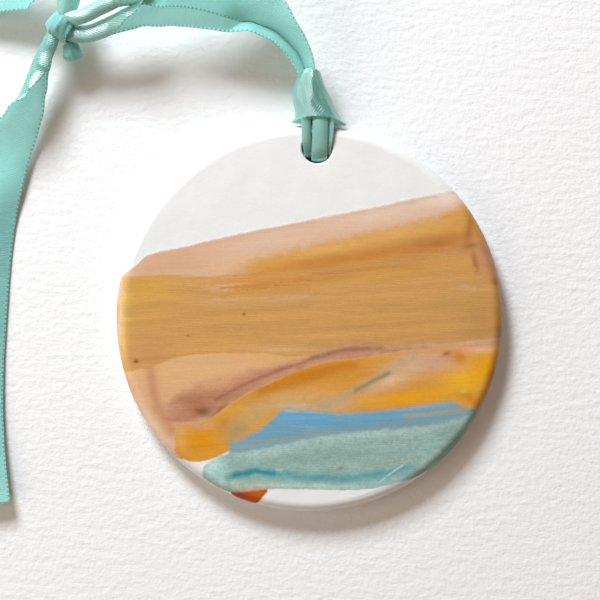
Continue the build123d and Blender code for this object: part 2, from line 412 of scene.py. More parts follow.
def ribbon_piece(name, surface, body, nodes, satin_out=False, both_satin=False):
    """A closed mesh from a middle surface and its coordinates, that rides body for its nodes."""
    thickness = bpy.context.scene.ornament_ribbon.thickness / MM
    points, faces, kinds, uv = ribbon_shell(*surface, thickness, satin_out)
    materials = ribbon_materials()
    piece = mesh_piece(name, points, faces, materials[1:] * 2 if both_satin else materials, kinds, uv)
    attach(piece, body)
    if nodes:
        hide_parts(*nodes)
    return piece


# Each ribbon: its route in millimetres, its stations (see ribbon_surface), body, CAD nodes and far end.
# The loop's route goes from inside the collar along the inner strand, round inside the knot and
# back along the outer strand. Between the ends the routes are the model's own.
RIBBONS = {
    "hanging_loop": ([
        (-2.0, 45.4, 4.3), (-3.4, 48.8, 4.7), (-5.4, 52.27, 5.3), (-9.28, 56.16, 6.2),
        (-14.93, 58.91, 7.6), (-21.85, 60.17, 8.8), (-29.07, 60.51, 9.2), (-36.11, 58.54, 8.9),
        (-41.71, 55.32, 8.2), (-45.93, 53.39, 7.6), (-50.33, 54.12, 7.2), (-52.72, 55.12, 7.7),
        (-50.33, 56.31, 8.8), (-46.42, 56.67, 9.9), (-41.71, 59.59, 11.0), (-35.91, 62.7, 12.1),
        (-28.27, 64.07, 12.6), (-20.46, 62.95, 12.2), (-13.74, 60.89, 11.0), (-8.18, 57.66, 9.2),
        (-3.9, 52.77, 7.2), (-2.4, 49.4, 5.7), (-1.4, 45.6, 4.9),
    ], [
        (0.0, -68, 40, 0.36), (0.05, -64, 30, 0.55), (0.09, -62, 10, 0.75), (0.14, -52, 0, 0.95),
        (0.2, -12, 0, 1.0), (0.25, 8, -10, 1.0), (0.3, 35, -45, 1.0), (0.35, 70, -95, 1.0),
        (0.4, 95, -140, 0.97), (0.44, 105, -150, 0.9), (0.49, 180, -150, 0.8), (0.54, 255, -160, 0.8),
        (0.59, 275, -150, 0.85), (0.63, 310, -95, 0.95), (0.68, 350, -15, 1.0), (0.78, 358, 5, 1.0),
        (0.85, 325, 0, 0.95), (0.9, 300, 10, 0.75), (0.95, 296, 20, 0.55), (1.0, 290, 30, 0.36),
    ], "hanger", ("strand_inner", "strand_outer", "loop_throat"), "object"),
    "left_tail": ([
        (-52.12, 54.12, 7.5), (-53.73, 50.35, 7.1), (-55.75, 45.01, 6.3), (-58.51, 37.09, 4.8),
        (-61.5, 28.16, 2.9), (-63.56, 18.59, 1.5), (-64.4, 8.6, 0.8), (-64.7, -1.8, 0.7),
        (-64.9, -12.2, 0.85), (-64.5, -22.5, 1.2), (-63.4, -32.0, 2.1), (-62.0, -39.5, 3.3),
    ], [
        (0.0, 110, -150, 0.7), (0.04, 105, -150, 0.85), (0.08, 88, -135, 0.97), (0.13, 64, -95, 1.0),
        (0.18, 42, -45, 1.0), (0.23, 30, -10, 1.0), (0.36, 12, 0, 1.0), (0.6, 2, 4, 1.0),
        (1.0, 0, 8, 1.0),
    ], "left_tail", ("tail_left",), "bare"),
    "upper_tail": ([
        (-50.13, 56.9, 8.5), (-49.45, 60.3, 9.0), (-50.76, 62.31, 8.8), (-55.39, 62.86, 7.4),
        (-63.44, 62.15, 5.4), (-71.39, 60.91, 3.6), (-80.95, 59.36, 1.9), (-91.0, 57.4, 0.75),
        (-101.5, 55.0, 0.4), (-111.5, 51.0, 0.7),
    ], [
        (0.0, 180, -150, 0.9), (0.05, 190, -125, 1.0), (0.1, 230, -110, 1.0), (0.155, 335, -40, 1.0),
        (0.2, 358, 0, 1.0), (1.0, 360, 8, 1.0),
    ], "upper_tail", ("tail_upper",), "bare"),
}


class ORNAMENT_OT_ribbon(bpy.types.Operator):
    """Make the hanging loop and the two tails of the ribbon"""
    bl_idname = "ornament.ribbon"
    bl_label = "Ribbon"

    def execute(self, context):
        width = context.scene.ornament_ribbon.width
        for name, (route, stations, body, nodes, far_end) in RIBBONS.items():
            line = spline_points(name + "_route", route)
            ribbon = ribbon_piece(name, ribbon_surface(line, stations, width / MM), body, nodes)
        return {"FINISHED"}


def collar_surface(rows=97, columns=41):
    """The hitch's band as a flared sleeve, and its two coordinates in mm.

    Part v of the way from the mouth to the throat, the section is an ellipse whose middle
    and half-widths come from COLLAR, in straight lines from row to row. Two sines swell it
    into pleats by a few percent. Its front is drawn up by sin^2 of the turn times (1 - v)^2.
    The ribbon's length goes round it, and the ribbon's width goes up it.
    """
    turn = np.linspace(-math.pi / 2, 1.5 * math.pi, rows)[:, None]
    v = np.linspace(0.0, 1.0, columns)[None, :]
    shape = np.array(COLLAR)
    middle_x, middle_z, left, right, deep, y = (
        np.interp(v[0], shape[:, 0], shape[:, k])[None, :] for k in range(1, 7))
    folds = 0.035 * np.sin(7 * turn + 5 * v) + 0.02 * np.sin(13 * turn - 9 * v)
    pleats = 1 + folds * np.sin(math.pi * v) ** 0.7
    half = np.where(np.cos(turn) < 0, left, right) * pleats
    front = np.maximum(np.sin(turn), 0)
    surface = np.stack(np.broadcast_arrays(
        middle_x + half * np.cos(turn),
        y + 1.25 * front ** 2 * (1 - v) ** 2 - 0.2 * np.cos(2 * turn) * v,
        middle_z + deep * np.sin(turn) * pleats), axis=-1)
    mean_radius = 4.2
    along = np.broadcast_to((turn + math.pi / 2) * mean_radius, surface.shape[:2])
    across = np.broadcast_to((v - 0.5) * WEAVE_WIDTH, surface.shape[:2])
    return surface, along, across


def band_surface(centre, axis_angle, width, aside, up, fullness, slip, rows=97, columns=33):
    """A band wound once round a level axis, and its two coordinates in mm.

    At angle u round the axis and v across (-1 to 1), the point is the centre, plus v width / 2
    along the axis (12 % less on one side) and slip for each turn, plus an ellipse aside by up
    that shrinks to sqrt(1 - fullness v^2) at the edges. Two sines crease it.
    """
    turn = np.linspace(-math.pi / 2, 1.5 * math.pi, rows)[:, None]
    v = np.linspace(-1.0, 1.0, columns)[None, :]
    axis = np.array([math.cos(axis_angle), math.sin(axis_angle), 0.0])
    level = np.array([-axis[1], axis[0], 0.0])
    creases = 1 + 0.05 * np.sin(4.5 * v + 1.2 * turn) + 0.02 * np.sin(11 * v - 2 * turn)
    swell = np.sqrt(1 - fullness * v ** 2) * creases
    along_axis = v * width / 2 * (1 - 0.12 * np.cos(turn)) + slip * (turn - math.pi / 2) / (2 * math.pi)
    surface = (np.array(centre) + along_axis[..., None] * axis
               + (aside * np.cos(turn) * swell)[..., None] * level
               + (up * np.sin(turn) * swell)[..., None] * np.array([0.0, 0.0, 1.0]))
    along = np.broadcast_to((turn + math.pi / 2) * (aside + up) / 2, surface.shape[:2])
    across = np.broadcast_to(v * WEAVE_WIDTH / 2, surface.shape[:2])
    return surface, along, across


# The collar from its mouth to the throat: part of the way, middle x and z, half-widths left and
# right, half-depth, y
COLLAR = [
    (0.00, 0.15, 3.55, 5.35, 5.35, 3.0, 38.4), (0.10, -0.25, 3.6, 4.15, 4.7, 3.05, 39.3),
    (0.28, -0.9, 3.8, 3.85, 4.2, 3.0, 41.1), (0.46, -1.3, 4.1, 3.8, 3.6, 2.9, 42.9),
    (0.64, -1.6, 4.4, 3.5, 3.0, 2.8, 44.8), (0.82, -1.9, 4.75, 2.75, 2.45, 2.6, 46.7),
    (0.93, -1.95, 4.9, 2.1, 2.1, 2.4, 47.9), (1.00, -1.95, 4.95, 1.7, 1.75, 2.1, 48.7),
]
# Each leg: x at its top and in the hole, width at its top and in the hole, y of its lowest reach,
# height over the disc, roll. The fold beside the right leg is no node's stand-in.
LEGS = {
    "hitch_leg_left": (-2.5, -1.7, 2.0, 1.5, 31.9, 0.0, 22.0),
    "hitch_leg_right": (0.45, 0.50, 3.15, 3.1, 31.0, 0.1, 0.0),
    "hitch_fold": (2.7, 2.15, 1.3, 1.0, 32.3, -0.45, -45.0),
}


def leg_route(top_x, hole_x, reach, lift):
    """Control points of a leg: over the disc, through the hole and back up behind, in mm."""
    y_z = [(42.2, 4.6), (39.8, 5.75 + lift), (36.6, 5.9 + lift), (reach + 2.0, 5.7 + lift),
           (reach - 0.1, 4.6), (reach + 0.1, 2.2), (reach + 1.1, 0.6), (34.8, 0.2), (38.1, 0.2),
           (39.6, 0.6), (41.0, 1.6)]
    shares = (0, 0.33, 0.67, 1, 1, 1, 1, 1, 1, 0.6)
    x = [top_x * 0.4] + [top_x + (hole_x - top_x) * share for share in shares]
    return [(along, y, z) for along, (y, z) in zip(x, y_z)]


class ORNAMENT_OT_hitch(bpy.types.Operator):
    """Make the hitch that holds the ribbon to the disc: its collar, its legs and a fold"""
    bl_idname = "ornament.hitch"
    bl_label = "Hitch"

    def execute(self, context):
        ribbon_piece("hitch_band", collar_surface(), "hitch",
                     ("hitch_collar", "hitch_back_left", "hitch_back_right"), satin_out=True)
        for name, (top_x, hole_x, top_width, hole_width, reach, lift, roll) in LEGS.items():
            line = spline_points(name, leg_route(top_x, hole_x, reach, lift))
            stations = [(0.0, roll, 30, 1), (0.30, roll, 35, 1),
                        (0.42, roll / 2, 25, hole_width / top_width), (1.0, 0, 15, 1)]
            nodes = (name,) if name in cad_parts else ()
            ribbon_piece("gathered_" + name, ribbon_surface(line, stations, top_width), "hitch",
                         nodes, both_satin=True)
        return {"FINISHED"}


class ORNAMENT_OT_knot(bpy.types.Operator):
    """Make the knot: the band wound round it and the small round bight beneath"""
    bl_idname = "ornament.knot"
    bl_label = "Knot"

    def execute(self, context):
        bands = {
            "knot_wrap": band_surface((-50.93, 54.92, 7.9), math.radians(-38), 4.6, 2.5, 3.0, 0.45, 0.9),
            "knot_bight": band_surface((-48.84, 50.34, 5.5), math.radians(15), 3.4, 1.9, 1.9, 0.72, 0.2),
        }
        for name, surface in bands.items():
            ribbon_piece("wound_" + name, surface, "hanger", (name,), satin_out=True)
        return {"FINISHED"}


# ------------------------------------------------------------ painted coats
# From the lowest coat to the topmost. A coat lies between an upper and a lower edge, given from left
# to right in millimetres. finish is its roughness when dry, how far bristle drags vary its colour and
# the depth of its relief. soft is how far its upper and lower edges fade, and ends is where its left
# and right ends are and how far they fade. streak and grit are how far its streaks and its mottle
# shade it. A patch is (x, y, long radius, short radius, turn in degrees, colour, strength). A line is
# (points, width, colour, strength). A dry patch, where the brush ran out and the coat breaks up, is
# (x, y, long radius, short radius, turn in degrees, strength).
COATS = {
    "blush_wash": {
        "colour": "#D7A979", "finish": (0.5, 0.02, 0.25), "soft": (0.5, 0.25), "ends": (-50, 60, 2.0),
        "streak": 0.035, "grit": 0.03,
        "upper": [(-42, 4.5), (-30, 2), (-10, 1), (16, -3), (44, 0)],
        "lower": [
            (-42, -36), (-30, -31.5), (-25.4, -28.9), (-23.5, -28.7), (-15, -24), (0, -15), (44, -10),
        ],
        "patches": [
            (-21, -11.6, 9, 2.6, 4, "#D9AB77", 0.8), (-8, -8.2, 7, 1.6, 6, "#DBA76D", 0.8),
            # The first patch on the next line, a paler band down the left rim, is a painted highlight where
            # the rim turns towards the lights
            (-36.6, -4, 1.6, 10, 0, "#E9C9A4", 0.7), (-34, -14, 2.6, 3, 0, "#DDAE84", 0.8),
            (-35.4, -17.0, 1.5, 1.5, 0, "#DBA24A", 0.8), (-34.6, -18.9, 0.9, 0.4, 0, "#C98B3A", 0.6),
            (-38.4, 0, 0.8, 1.7, 0, "#D9960F", 0.9), (-31, -23, 6, 2.2, -58, "#E9CDB3", 0.95),
            (-28.0, -26.5, 4.5, 1.8, -50, "#E8CFB8", 0.9),
        ],
        "lines": [
            ([(-31.0, -10.6), (-30.2, -14.5), (-29.2, -18.0), (-27.9, -20.6), (-26.2, -23.2)],
             2.4, "#C28664", 1.0),
        ],
    },
    "peach_wash": {
        "colour": "#D8B193", "finish": (0.5, 0.02, 0.25), "soft": (0.55, 1.0), "ends": (-50, 50, 1.0),
        "streak": 0.02, "grit": 0.03,
        "upper": [
            (-42, 3.2), (-38.4, 6.2), (-36.6, 7.4), (-34.6, 8.8), (-33.0, 10.5), (-30.6, 11.6), (-26, 12.8),
            (-21.3, 14.1), (-10.6, 17.0), (-4.3, 18.5), (1.2, 19.9), (9.8, 21.9), (12.9, 22.7),
            (21.5, 25.0), (24.6, 25.8), (28.2, 26.7), (34, 27.2),
        ],
        "lower": [(-42, 2.4), (-20, 3), (10, 6), (44, 14)],
        "patches": [
            (-28, 9.5, 9, 3.5, 12, "#CEA27B", 0.8), (-36, 7.2, 2.2, 1.6, 30, "#DDB493", 0.8),
            (-8, 15, 9, 2, 14, "#DDC0A8", 0.5), (13, 21.3, 10, 1.8, 13, "#DFC5AF", 0.8),
            (26, 24.9, 6, 1.6, 12, "#E7D3C3", 0.9), (-12, 11.0, 8, 1.2, 18, "#DCAF80", 0.7),
            (3.5, 20.4, 14, 0.5, 13, "#E3C9B4", 0.5),
        ],
        "lines": [
            ([(-30.5, 10.9), (-21, 13.6), (-10.6, 16.5), (0, 19.1)], 0.6, "#CFA081", 0.35),
            ([(4, 20.1), (12.0, 22.0), (20, 24.1), (27.4, 26.0)], 0.5, "#D3AC93", 0.6),
        ],
        "dry": [(27, 26.2, 5, 0.7, 12, 0.5)],
    },
    "amber_wash": {
        "colour": "#CE964C", "finish": (0.48, 0.04, 0.3), "soft": (2.0, 1.0), "ends": (-19.5, 60, 10.0),
        "streak": 0.03, "grit": 0.05,
        "upper": [
            (-24, 6.6), (-18, 8.2), (-14.1, 9.5), (-9.9, 11.5), (-6.4, 12.6), (-2.5, 13.6), (2.7, 15.2),
            (10.1, 17.2), (15.8, 18.8), (23.1, 20.7), (26.8, 22.2), (28.3, 23.2), (29.6, 24.0), (40, 26),
        ],
        "lower": [(-24, 4), (6, 5), (30, 8), (44, 4)],
        "patches": [
            (4, 14.2, 12, 1.3, 15, "#DBA85C", 0.85), (19, 18.2, 9, 1.7, 15, "#D8A55C", 0.8),
            (28.6, 22.3, 2.2, 1.1, 35, "#D39C4C", 0.8), (-9, 9.6, 6, 1.0, 16, "#D79B45", 0.8),
            (7, 12.2, 17, 1.3, 12, "#BE7A32", 0.8), (24, 15.8, 7, 1.7, 12, "#B47236", 0.85),
            (30.6, 19.2, 0.9, 3.4, -8, "#A0642E", 0.8), (32.4, 20.4, 1.3, 2.2, 25, "#CE8E38", 0.8),
            (34.6, 13.6, 2.6, 4.4, 14, "#BE8465", 0.95), (37.2, 11.5, 0.9, 4.5, 14, "#DDAE94", 0.8),
            (31.0, 15.7, 1.8, 0.6, 10, "#8F5A3C", 0.7), (32.0, 12.4, 0.6, 2.8, 14, "#9A6444", 0.7),
            (28, 14.2, 3, 0.9, 10, "#BF8463", 0.7), (36.2, 8.7, 1.0, 0.9, 0, "#B26C22", 0.9),
        ],
    },
    "gold_stroke": {
        "colour": "#C89555", "finish": (0.42, 0.045, 0.5), "soft": (0.35, 0.45), "ends": (-37.3, 60, 0.6),
        "streak": 0.075, "grit": 0.05,
        "upper": [
            (-42, 5.8), (-36.4, 6.6), (-31.8, 7.1), (-27.5, 7.4), (-20, 7.4), (-14.1, 8.1), (-2.3, 9.4),
            (7.5, 10.8), (17.3, 12.7), (25.2, 14.1), (29.5, 14.0), (31.0, 12.6), (33.2, 10.0), (37, 7.7),
            (42, 7.2),
        ],
        "lower": [
            (-42, -13.4), (-34.9, -11.9), (-29.7, -10.5), (-27.5, -9.5), (-24.5, -8.5), (-20, -7.8),
            (-15, -7.5), (-10, -7.2), (-1.5, -7.4), (3.7, -5.9), (8.4, -4.6), (14.2, -4.8), (20.8, -4.2),
            (27.4, -3.6), (32.6, -2.8), (42, -1.4),
        ],
        "patches": [
            (-31, 4.6, 6, 3.0, 4, "#CD9D44", 0.9), (-33, 0, 5, 3, 4, "#CE9D4E", 0.8),
            # The first patch on the next line, a paler band down the left rim, is a painted highlight where
            # the rim turns towards the lights
            (-36.4, -3, 1.2, 10, 0, "#DBAF5E", 0.9), (-14, 5.6, 6, 1.6, 10, "#CB8730", 0.85),
            (-2, 7.6, 9, 1.3, 9, "#C5843E", 0.8), (-19, -5.4, 9, 1.5, 2, "#D7A057", 0.8),
            (2, -3.4, 9, 1.7, 4, "#D09D5B", 0.7), (-31, -7.2, 3.6, 3.4, 8, "#C48F58", 0.9),
            (34, -0.5, 5, 5.5, 8, "#BA8A50", 0.9), (13, 8.9, 6, 0.9, 9, "#CFA04D", 0.75),
            (27, 12.2, 4.5, 1.1, 8, "#CFA055", 0.75), (-6, -6.4, 7, 0.8, 3, "#DBAC76", 0.6),
            (10, 9.8, 12, 1.1, 10, "#BD7F45", 0.7), (-12, 1.5, 9, 1.0, 5, "#C79250", 0.4),
            # The first patch on the next line, a darker band down the right rim, is painted shade where the
            # rim turns away from the lights
            (37.2, -1, 1.0, 5, 8, "#A9793E", 0.7), (24, 3, 7, 1.3, 8, "#C2924F", 0.5),
            (-12.9, 0.3, 0.35, 0.3, 0, "#8A4A22", 0.9), (-23.7, -4.4, 0.3, 0.25, 0, "#9A5A28", 0.8),
            (-33.6, -9.9, 0.5, 0.35, 0, "#7A3A1A", 0.95), (1.2, 18, 0.4, 0.3, 0, "#8A4A22", 0.7),
        ],
        "lines": [
            ([(-35.5, -12.4), (-29.7, -10.9), (-24.5, -9.0), (-18, -8.1), (-9, -7.6)], 1.3, "#D49A3E", 0.7),
            # The next line, a paler streak down the left rim, is a painted highlight where the rim turns
            # towards the lights
            ([(-36.4, -10), (-36.6, 4.5)], 1.0, "#DDB25A", 0.6),
        ],
        "dry": [
            (-15, 6.0, 6, 2.2, 8, 0.8), (-2, 7.8, 10, 2.4, 9, 0.95),
            (12, 10.4, 11, 2.2, 9, 1.0), (25, 13.4, 7, 2.2, 9, 1.0),
            (32.0, 11.2, 2.8, 2.6, 10, 1.0), (-27, 6.9, 6, 0.6, 3, 0.5),
            (-37.0, 0, 1.0, 12, 0, 0.35),
        ],
    },
    "mauve_streak": {
        "colour": "#B98363", "finish": (0.48, 0.05, 0.35), "soft": (2.2, 0.6), "ends": (-28.8, 60, 2.4),
        "streak": 0.12, "grit": 0.12,
        "upper": [
            (-29.5, -18.9), (-27.9, -18.1), (-24.7, -15.7), (-19.7, -13.4), (-13.5, -11.6), (-7.3, -9.9),
            (-2.3, -8.2), (3.7, -5.8), (8.4, -4.5), (14.2, -4.7), (20.8, -4.1), (27.4, -3.5), (32.6, -2.7),
            (42, -1.3),
        ],
        "lower": [
            (-29.5, -20.2), (-26.5, -21.4), (-21.9, -21.3), (-18.4, -20.4), (-15.5, -18.0), (-12.1, -15.6),
            (-7.2, -12.9), (-1.4, -10.0), (3.8, -8.2), (9.0, -7.4), (14.3, -6.4), (19.0, -5.5),
            (27.4, -4.5), (33, -4.0), (42, -2.6),
        ],
        "patches": [
            (-20.4, -19.0, 1.7, 0.9, 0, "#79492E", 0.95), (-21.8, -18.0, 3.2, 1.6, 12, "#A46B4A", 0.7),
            (-26.4, -18.8, 2.6, 2.0, 10, "#C68E71", 0.8), (-17, -13.6, 4, 1.0, 20, "#CC9A70", 0.7),
            (-20.0, -20.5, 1.6, 0.4, 10, "#C99C76", 0.8), (-16.6, -18.6, 1.3, 0.5, 55, "#8D5C30", 0.7),
            (30, -3.6, 9, 1.0, 6, "#D2A080", 0.9), (22, -4.9, 6, 0.7, 4, "#B98A72", 0.5),
        ],
        "lines": [
            ([(-17.5, -16.6), (-11.2, -12.9), (-4.4, -9.9), (2.4, -7.2), (7.7, -5.5), (14, -5.2)],
             0.75, "#916049", 0.75),
            ([(-15.2, -17.4), (-7.2, -12.3), (-1.4, -9.4), (6, -7.2), (14, -5.9)], 0.7, "#CC9377", 0.7),
        ],
        "dry": [(-19, -13.6, 8, 0.8, 18, 0.5), (28, -3.9, 9, 0.9, 5, 0.7)],
    },
    "orange_sweep": {
        "colour": "#D3973E", "finish": (0.46, 0.03, 0.35), "soft": (0.5, 0.3), "ends": (-25.5, 60, 0.5),
        "streak": 0.05, "grit": 0.07,
        "upper": [
            (-25.7, -21.9), (-22, -21.5), (-18.6, -20.6), (-15.5, -18.1), (-12.1, -15.7), (-7.2, -13.0),
            (-1.4, -10.1), (3.8, -8.3), (9, -7.5), (14.3, -6.5), (19, -5.6), (27, -4.6), (33, -4.1),
            (42, -2.7),
        ],
        "lower": [
            (-25.7, -26.6), (-24.4, -28.2), (-23.2, -28.8), (-18.4, -28.5), (-14.7, -26.7), (-11.0, -24.2),
            (-6.5, -21.2), (-3.4, -18.9), (-1, -18.4), (6.8, -18.6), (14.8, -18.0), (24, -16.4),
            (31, -16.6), (33.6, -17.2), (42, -18),
        ],
        "patches": [
            (-20, -25.0, 4.6, 3.2, 0, "#DA9000", 0.95), (-24.4, -24, 1.2, 3, 0, "#D9A75C", 0.7),
            (-21, -21.9, 5, 0.7, 4, "#C89A70", 0.7), (-16, -21.6, 1.6, 1.5, 40, "#BF7F2A", 0.7),
            (-8, -14.6, 5, 1.5, 30, "#CE8C2C", 0.8), (0, -11.7, 8, 1.2, 18, "#BF7613", 0.9),
            (9, -10.0, 6, 2.2, 10, "#CF8C2E", 0.8), (-9.5, -19, 4, 2.2, 38, "#C3A066", 0.85),
            (-13.5, -22.8, 2.4, 1.7, 40, "#A79068", 0.85), (-1.5, -15.8, 6.5, 1.7, 6, "#CDA86F", 0.8),
            (-0.5, -17.6, 5, 0.9, 0, "#C3AD94", 0.9), (6.8, -16.6, 3, 1.3, 8, "#CDB092", 0.7),
            (22, -7.8, 6.5, 2.2, 12, "#D0A484", 0.95), (27, -7.6, 4, 1.5, -10, "#CF9E86", 0.8),
            (16.5, -11.2, 5, 1.7, 28, "#DDB590", 0.9), (33.5, -4.6, 4, 0.8, 6, "#DFB091", 0.9),
            (12.5, -15.2, 4, 1.0, 14, "#D8A056", 0.8), (21, -14.4, 9, 1.2, 9, "#E8A100", 0.95),
            (30.5, -10.8, 4, 2.6, 20, "#E8B01C", 0.95), (34.5, -8.2, 2.6, 2.8, 0, "#E09C00", 0.95),
            # The first patch on the next line, a darker band along the right rim, is painted shade where
            # the rim turns away from the lights
            (36.7, -10.5, 0.8, 4.5, -14, "#B47208", 0.85), (32, -14.2, 2.4, 1.0, -30, "#C9801A", 0.8),
            (29.6, -6.2, 1.4, 1.5, 0, "#CC8322", 0.9), (27.2, -5.7, 0.9, 0.5, 20, "#9C6742", 0.85),
            (30.8, -12.9, 0.8, 0.5, 0, "#E4B85C", 0.7),
        ],
        "lines": [
            ([(-9, -14.6), (-3, -11.9), (3, -9.7), (9, -8.6)], 1.9, "#C4770C", 0.95),
            ([(3.0, -17.0), (7.5, -15.0), (11.3, -12.7), (15, -10.7), (18.6, -7.9), (20.5, -6.0)],
             1.9, "#B3A284", 0.8),
            ([(9.6, -13.7), (12.5, -11.9), (15.8, -10.1)], 0.9, "#857A50", 0.9),
        ],
    },
    "blue_stroke": {
        "colour": "#69A1BC", "finish": (0.45, 0.05, 0.35), "soft": (1.2, 0.6), "ends": (-14.9, 34.6, 0.4),
        "streak": 0.07, "grit": 0.04,
        "upper": [
            (-14.9, -25.2), (-11.0, -23.5), (-7.6, -21.3), (-5.6, -19.3), (-4.7, -18.3), (-1.9, -18.0),
            (2.9, -18.1), (8.2, -18.2), (14.8, -17.4), (21.3, -16.3), (26.0, -15.4), (29.2, -15.1),
            (31.3, -16.0), (33.6, -16.5), (36, -17),
        ],
        "lower": [
            (-14.9, -28.4), (-7.4, -26.8), (-0.8, -25.2), (7, -23.4), (14.9, -22.2), (21.4, -21.4),
            (28, -20.2), (33.4, -18.4), (36, -18),
        ],
        "patches": [
            (0, -19.6, 6, 0.9, 2, "#63A4C8", 0.8), (-12, -25.0, 4, 0.9, 22, "#7FA3A6", 0.85),
            (-8, -23.0, 4, 0.8, 24, "#6FA3BE", 0.7), (31, -16.6, 2.4, 0.6, -8, "#93998E", 0.85),
            (24, -16.2, 5, 0.5, 8, "#8AAAB2", 0.6), (-3.0, -18.2, 1.6, 0.4, 0, "#B8B7A6", 0.7),
        ],
        "lines": [
            ([(-14.7, -26.9), (-11.6, -25.7), (-4.1, -23.9), (5, -22.3), (17.4, -20.6), (28, -18.9),
              (33, -17.4)], 2.1, "#8A9D9E", 1.0),
            ([(-8.0, -21.8), (-4.3, -20.9), (2.1, -21.4)], 0.7, "#86A2A8", 0.8),
            ([(19.5, -18.4), (24.6, -17.5), (30.4, -16.6)], 0.9, "#B09C70", 0.9),
        ],
        "dry": [(-1, -18.0, 6, 0.4, 0, 0.6), (18, -16.8, 10, 0.4, 8, 0.5)],
    },
    "sea_stroke": {
        "colour": "#92B1A8", "finish": (0.5, 0.03, 0.6), "soft": (0.9, 0.3), "ends": (-20.0, 60, 0.5),
        "streak": 0.04, "grit": 0.27,
        "upper": [
            (-20.1, -31.2), (-19.4, -29.9), (-18.5, -29.0), (-16.6, -27.8), (-14.6, -27.2), (-11.6, -26.6),
            (-7.4, -25.6), (-0.8, -23.9), (7, -22.2), (14.9, -21.2), (21.4, -20.3), (28, -19.0),
            (31.9, -17.5), (33.8, -16.5), (42, -15.5),
        ],
        "lower": [
            (-20.1, -32.0), (-18.3, -33.4), (-16.3, -34.5), (-14.0, -34.9), (-6.2, -33.8), (5.5, -33.4),
            (10.2, -33.2), (15.4, -32.4), (18.0, -31.5), (21.9, -30.5), (25.3, -29.0), (32, -27), (42, -24),
        ],
        "patches": [
            (-17.6, -30.0, 2.6, 2.4, 30, "#C4E8DF", 0.95), (-15.4, -33.2, 2.2, 1.2, -10, "#BFD6CC", 0.7),
            (-7, -26.7, 6.5, 1.1, 12, "#AECBC5", 0.85), (9, -22.8, 12, 1.0, 9, "#A4C4BC", 0.8),
            (24, -20.3, 7, 0.9, 11, "#A5C1BA", 0.7), (6, -27.0, 14, 1.9, 5, "#88A79D", 0.7),
            (-9, -28.9, 5, 0.8, 4, "#86AFA8", 0.5), (29, -22.0, 3.4, 2.6, -30, "#86A196", 0.8),
            # The first patch on the next line, a dark band along the lower right rim, is painted shade
            # where the rim turns away from the lights
            (30.5, -24.2, 4.5, 0.9, 50, "#5F786A", 0.8), (-13.6, -32.6, 1.3, 0.8, 0, "#B2A673", 0.7),
            (-9.6, -32.4, 1.4, 0.5, 20, "#A39C72", 0.6), (0, -32.8, 16, 0.6, 1, "#B9CFC5", 0.8),
            (16, -31.4, 4, 0.7, 10, "#9FC4C2", 0.7), (7.3, -29.1, 0.5, 0.28, 20, "#B0681C", 1.0),
            (-4.6, -30.0, 0.6, 0.3, 0, "#E2E0CE", 0.8), (0, -30.8, 17, 1.2, 2, "#74AEAC", 0.6),
            (-9.6, -33.7, 3.4, 0.35, 6, "#C2A284", 0.85), (34, -18.2, 1.2, 1.8, 30, "#7C9084", 0.7),
        ],
        "lines": [
            ([(-14.7, -32.2), (-12.8, -31.0), (-9.4, -30.4), (-5.5, -30.6), (-0.5, -31.2), (8.4, -31.2),
              (15.6, -29.8), (21, -28.2)], 1.4, "#4B9AA0", 0.9),
            ([(-13.2, -31.2), (-9.4, -30.3), (-5.5, -30.5)], 1.0, "#1F8590", 1.0),
            ([(-0.5, -30.1), (7.3, -29.4), (15.1, -27.9), (23.0, -26.0)], 0.22, "#A1956A", 0.75),
            ([(-16, -33.9), (-12, -32.9), (-6.5, -32.6), (-4.0, -32.0)], 0.3, "#A99A66", 0.6),
            ([(15.4, -31.3), (17.3, -29.6), (19.5, -28.0)], 0.35, "#D8EAE6", 0.7),
        ],
    },
    "rust_chip": {
        "colour": "#C04E04", "finish": (0.46, 0.03, 0.4), "soft": (0.16, 0.16), "ends": (-14.1, -6.5, 0.2),
        "streak": 0.05, "grit": 0.06,
        "upper": [(-14.2, -34.9), (-12, -34.5), (-10.0, -34.2), (-6.4, -33.75)],
        "lower": [
            (-14.2, -35.2), (-13.4, -36.1), (-11.6, -36.9), (-10.1, -37.3), (-8.9, -37.0), (-7.6, -35.3),
            (-6.4, -33.85),
        ],
        "patches": [
            (-12.4, -35.6, 1.6, 0.7, -20, "#9C3D03", 0.8), (-8.4, -34.6, 1.2, 0.7, 20, "#C8640F", 0.7),
            (-11, -34.3, 3, 0.25, 8, "#D8A479", 0.6),
        ],
    },
}


class PaintProps(bpy.types.PropertyGroup):
    """The main colour of each coat"""
    __annotations__ = {
        name: colour_value(name.replace("_", " ").capitalize(), coat["colour"],
                           "Main colour of the " + name.replace("_", " "))
        for name, coat in COATS.items()}


def eased_line(points, x):
    """Height at x of a smooth line through points, from left to right.

    Between two points it is the cubic whose slope at each point is that of the
    straight line between the point's two neighbours.
    """
    table = np.array(points, dtype=float)
    slope = np.gradient(table[:, 1], table[:, 0])
    at = np.clip(np.searchsorted(table[:, 0], x, side="right") - 1, 0, len(table) - 2)
    run = table[at + 1, 0] - table[at, 0]
    part = np.clip((x - table[at, 0]) / run, 0.0, 1.0)
    low, high = table[at, 1], table[at + 1, 1]
    return ((1 + 2 * part) * (1 - part) ** 2 * low + part * (1 - part) ** 2 * run * slope[at]
            + part ** 2 * (3 - 2 * part) * high + part ** 2 * (part - 1) * run * slope[at + 1])


def ramp(value, low, high):
    """0 below low and 1 above high, eased between."""
    return smooth(np.clip((value - low) / (high - low), 0.0, 1.0))


def grain(x, y, pitch_x, pitch_y, seed):
    """Random heights from 0 to 1 on a lattice pitch_x by pitch_y mm, eased between."""
    table = np.random.default_rng(seed).random((256, 256))
    u, v = x / pitch_x, y / pitch_y
    i, j = np.floor(u).astype(int), np.floor(v).astype(int)
    s, t = smooth(u - i), smooth(v - j)
    i, j = i % 255, j % 255
    low = table[i, j] * (1 - s) + table[i + 1, j] * s
    high = table[i, j + 1] * (1 - s) + table[i + 1, j + 1] * s
    return low * (1 - t) + high * t


